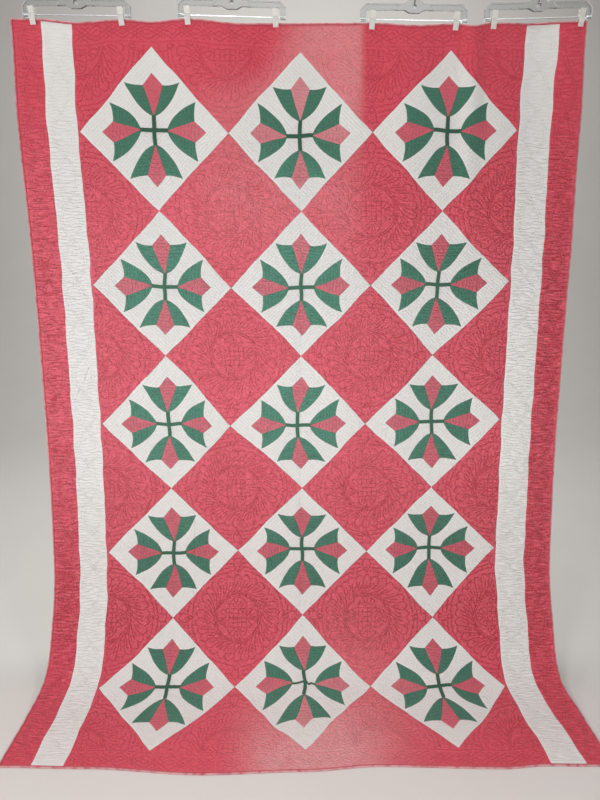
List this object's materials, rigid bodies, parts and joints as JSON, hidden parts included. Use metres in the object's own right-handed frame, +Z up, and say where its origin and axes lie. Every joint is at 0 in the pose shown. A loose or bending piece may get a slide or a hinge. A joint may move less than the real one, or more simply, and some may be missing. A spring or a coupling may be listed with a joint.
{
  "type": "quilt on clip hangers",
  "caption": "Antique patchwork quilt of tulip blocks on point, hung by its top edge from clear clip hangers, its lower end sweeping forward onto the floor.",
  "frame": {"origin": "middle of the floor space that the hung quilt takes up, on the floor", "axes": "+Z up, -Y the way the quilt's face looks, +X to the right as seen from the front"},
  "size_m": [1.7591, 0.6565, 2.2048],
  "materials": {
    "quilt_cloth": "matte",
    "binding_cloth": "matte",
    "clear_plastic": "gloss",
    "wire": "satin",
    "clip_metal": "satin"
  },
  "bodies": {
    "root": {"quilt": "quilt_cloth", "binding_left": "binding_cloth", "binding_low": "binding_cloth", "binding_right": "binding_cloth", "binding_top": "binding_cloth", "hanger_1_body": "clear_plastic", "hanger_1_hook": "wire", "hanger_1_rod": "wire", "hanger_1_clip_left": "clip_metal", "hanger_1_clip_right": "clip_metal", "hanger_2_body": "clear_plastic", "hanger_2_hook": "wire", "hanger_2_rod": "wire", "hanger_2_clip_left": "clip_metal", "hanger_2_clip_right": "clip_metal", "hanger_3_body": "clear_plastic", "hanger_3_hook": "wire", "hanger_3_rod": "wire", "hanger_3_clip_left": "clip_metal", "hanger_3_clip_right": "clip_metal", "hanger_4_body": "clear_plastic", "hanger_4_hook": "wire", "hanger_4_rod": "wire", "hanger_4_clip_left": "clip_metal", "hanger_4_clip_right": "clip_metal"}
  },
  "joints": []
}
